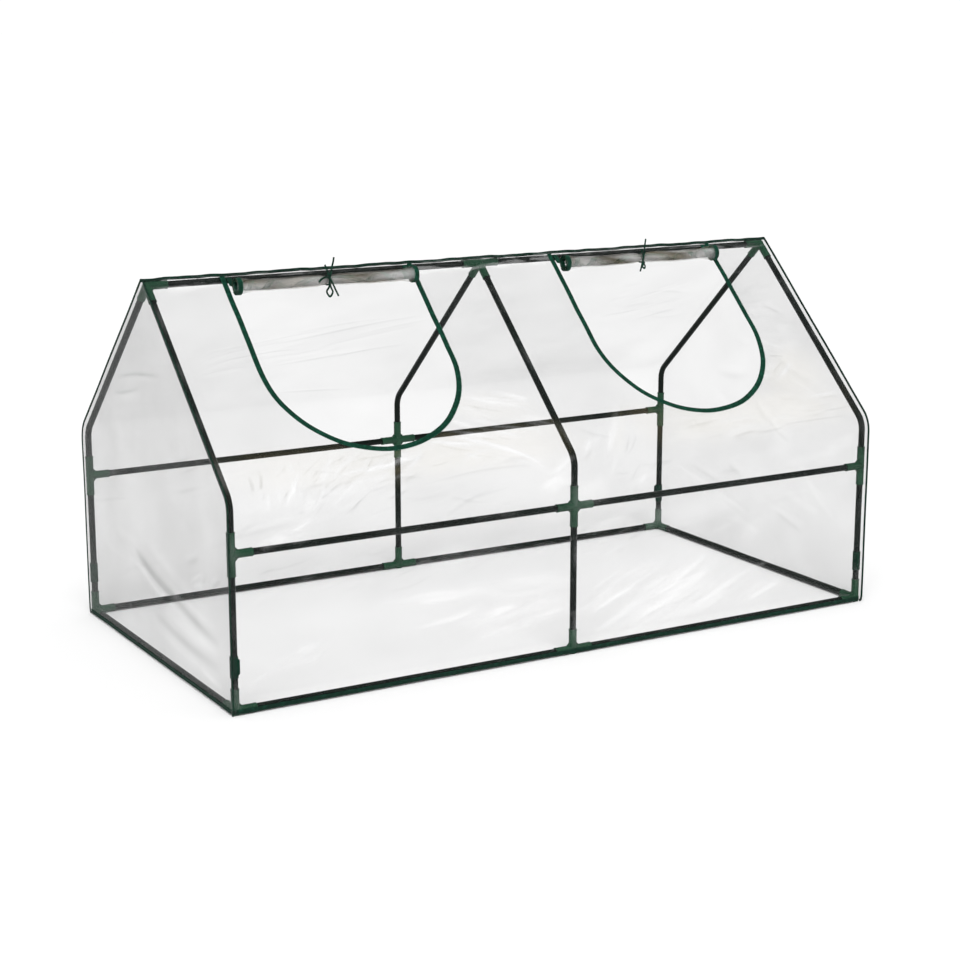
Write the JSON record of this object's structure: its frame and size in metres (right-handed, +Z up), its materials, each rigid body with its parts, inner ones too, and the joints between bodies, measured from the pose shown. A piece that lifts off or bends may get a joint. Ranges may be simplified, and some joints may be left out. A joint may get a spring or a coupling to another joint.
{
  "type": "mini greenhouse",
  "caption": "Low ridged greenhouse: push-fit steel tube frame in plastic connectors under a clear film cover, with arched roll-up windows in the front roof slope.",
  "frame": {"origin": "centre of the footprint, on the ground", "axes": "+X along the ridge, -Y towards the front slope with the windows, +Z up"},
  "size_m": [1.7992, 0.9322, 0.9376],
  "materials": {
    "frame_tube": "gloss powder coat, very dark green",
    "connector": "moulded, satin green",
    "clear_film": "clear soft film with slight grey tint",
    "binding_tape": "woven polyester tape",
    "zip_tape": "woven tape with coil teeth",
    "zip_slider": "gloss green",
    "hook_and_loop": "hook-and-loop tape",
    "tie_tape": "narrow woven tape"
  },
  "bodies": {
    "frame_and_cover": {"base_tee_back": "connector", "base_tee_front": "connector", "bottom_rail_back_left": "frame_tube", "bottom_rail_back_right": "frame_tube", "bottom_rail_end_left": "frame_tube", "bottom_rail_end_right": "frame_tube", "bottom_rail_front_left": "frame_tube", "bottom_rail_front_right": "frame_tube", "corner_connector_back_left": "connector", "corner_connector_back_right": "connector", "corner_connector_front_left": "connector", "corner_connector_front_right": "connector", "cover_back_roof": "clear_film", "cover_back_wall": "clear_film", "cover_front_roof": "clear_film", "cover_front_wall": "clear_film", "cover_gable_left": "clear_film", "cover_gable_right": "clear_film", "gable_bindings": "binding_tape", "hem_binding": "binding_tape", "leg_back_left": "frame_tube", "leg_back_middle": "frame_tube", "leg_back_right": "frame_tube", "leg_front_left": "frame_tube", "leg_front_middle": "frame_tube", "leg_front_right": "frame_tube", "leg_straps": "hook_and_loop", "ridge_binding": "binding_tape", "ridge_connector_left": "connector", "ridge_connector_middle": "connector", "ridge_connector_right": "connector", "ridge_rail_left": "frame_tube", "ridge_rail_right": "frame_tube", "side_cross_back": "connector", "side_cross_front": "connector", "side_rail_back_left": "frame_tube", "side_rail_back_right": "frame_tube", "side_rail_front_left": "frame_tube", "side_rail_front_right": "frame_tube", "side_tee_back_left": "connector", "side_tee_back_right": "connector", "side_tee_front_left": "connector", "side_tee_front_right": "connector", "upper_tube_back_left": "frame_tube", "upper_tube_back_middle": "frame_tube", "upper_tube_back_right": "frame_tube", "upper_tube_front_left": "frame_tube", "upper_tube_front_middle": "frame_tube", "upper_tube_front_right": "frame_tube", "window_zips": "zip_tape"},
    "flap_left": {"window_flap_left": "clear_film", "roll_tie_left": "tie_tape"},
    "roll_left": {"window_roll_left": "clear_film", "rolled_zip_left": "zip_tape"},
    "slider_left": {"zip_slider_left": "zip_slider"},
    "flap_right": {"window_flap_right": "clear_film", "roll_tie_right": "tie_tape"},
    "roll_right": {"window_roll_right": "clear_film", "rolled_zip_right": "zip_tape"},
    "slider_right": {"zip_slider_right": "zip_slider"}
  },
  "joints": [
    {"name": "window_left_unroll", "type": "slide", "parent": "frame_and_cover", "child": "flap_left", "axis": [0, -0.7319, -0.6814], "range_m": [0, 0.485]},
    {"name": "roll_left_spin", "type": "hinge", "parent": "flap_left", "child": "roll_left", "pos_m": [-0.453, -0.05878, 0.89619], "axis": [1, 0, 0], "range_deg": [0, 1802]},
    {"name": "zip_left_slide", "type": "slide", "parent": "frame_and_cover", "child": "slider_left", "axis": [0, -0.7319, -0.6814], "range_m": [0, 0.24]},
    {"name": "window_right_unroll", "type": "slide", "parent": "frame_and_cover", "child": "flap_right", "axis": [0, -0.7319, -0.6814], "range_m": [0, 0.485]},
    {"name": "roll_right_spin", "type": "hinge", "parent": "flap_right", "child": "roll_right", "pos_m": [0.453, -0.05878, 0.89619], "axis": [1, 0, 0], "range_deg": [0, 1802]},
    {"name": "zip_right_slide", "type": "slide", "parent": "frame_and_cover", "child": "slider_right", "axis": [0, -0.7319, -0.6814], "range_m": [0, 0.24]}
  ],
  "couplings": [
    {"joint": "roll_left_spin", "follows": "window_left_unroll", "rad_per_m": 64.775},
    {"joint": "roll_right_spin", "follows": "window_right_unroll", "rad_per_m": 64.775}
  ]
}
